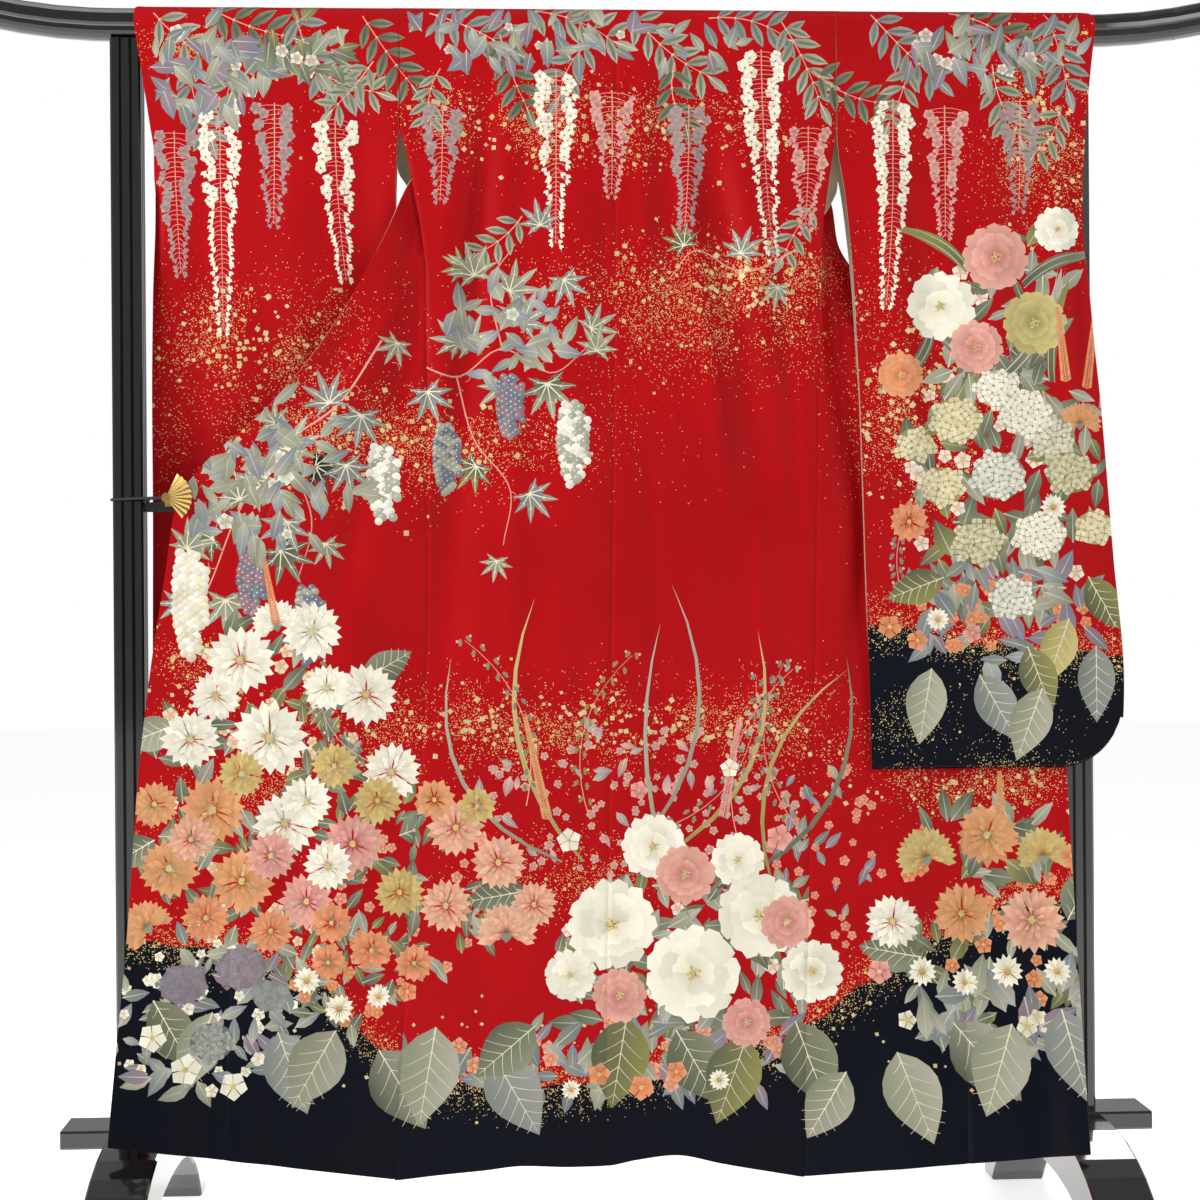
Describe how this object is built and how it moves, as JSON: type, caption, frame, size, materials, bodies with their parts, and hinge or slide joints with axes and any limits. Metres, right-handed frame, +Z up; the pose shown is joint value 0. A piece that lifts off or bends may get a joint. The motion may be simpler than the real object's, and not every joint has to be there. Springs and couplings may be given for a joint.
{
  "type": "furisode kimono on a kimono stand",
  "caption": "Long-sleeved red silk furisode with a black hem, hung by its sleeves back outwards on a black lacquered kimono stand, fronts drawn out to the sides.",
  "frame": {"origin": "on the floor at the middle of the stand's base", "axes": "+Z up, +X to the viewer's right along the top rail, -Y towards the viewer, who sees the garment's back"},
  "size_m": [1.86, 0.744, 1.8097],
  "materials": {
    "silk": "satin",
    "lacquered_wood": "gloss",
    "brass": "polished",
    "elastic": "matt"
  },
  "bodies": {
    "root": {"back_left": "silk", "back_right": "silk", "front_left": "silk", "front_right": "silk", "okumi_left": "silk", "okumi_right": "silk", "collar": "silk", "sleeve_left": "silk", "sleeve_right": "silk", "top_rail": "lacquered_wood", "post_left": "lacquered_wood", "post_right": "lacquered_wood", "mid_rail": "lacquered_wood", "base_plank": "lacquered_wood", "foot_left": "lacquered_wood", "foot_right": "lacquered_wood", "fan_clip_left": "brass", "clip_right": "brass", "clip_cord_left": "elastic", "clip_cord_right": "elastic"}
  },
  "joints": []
}
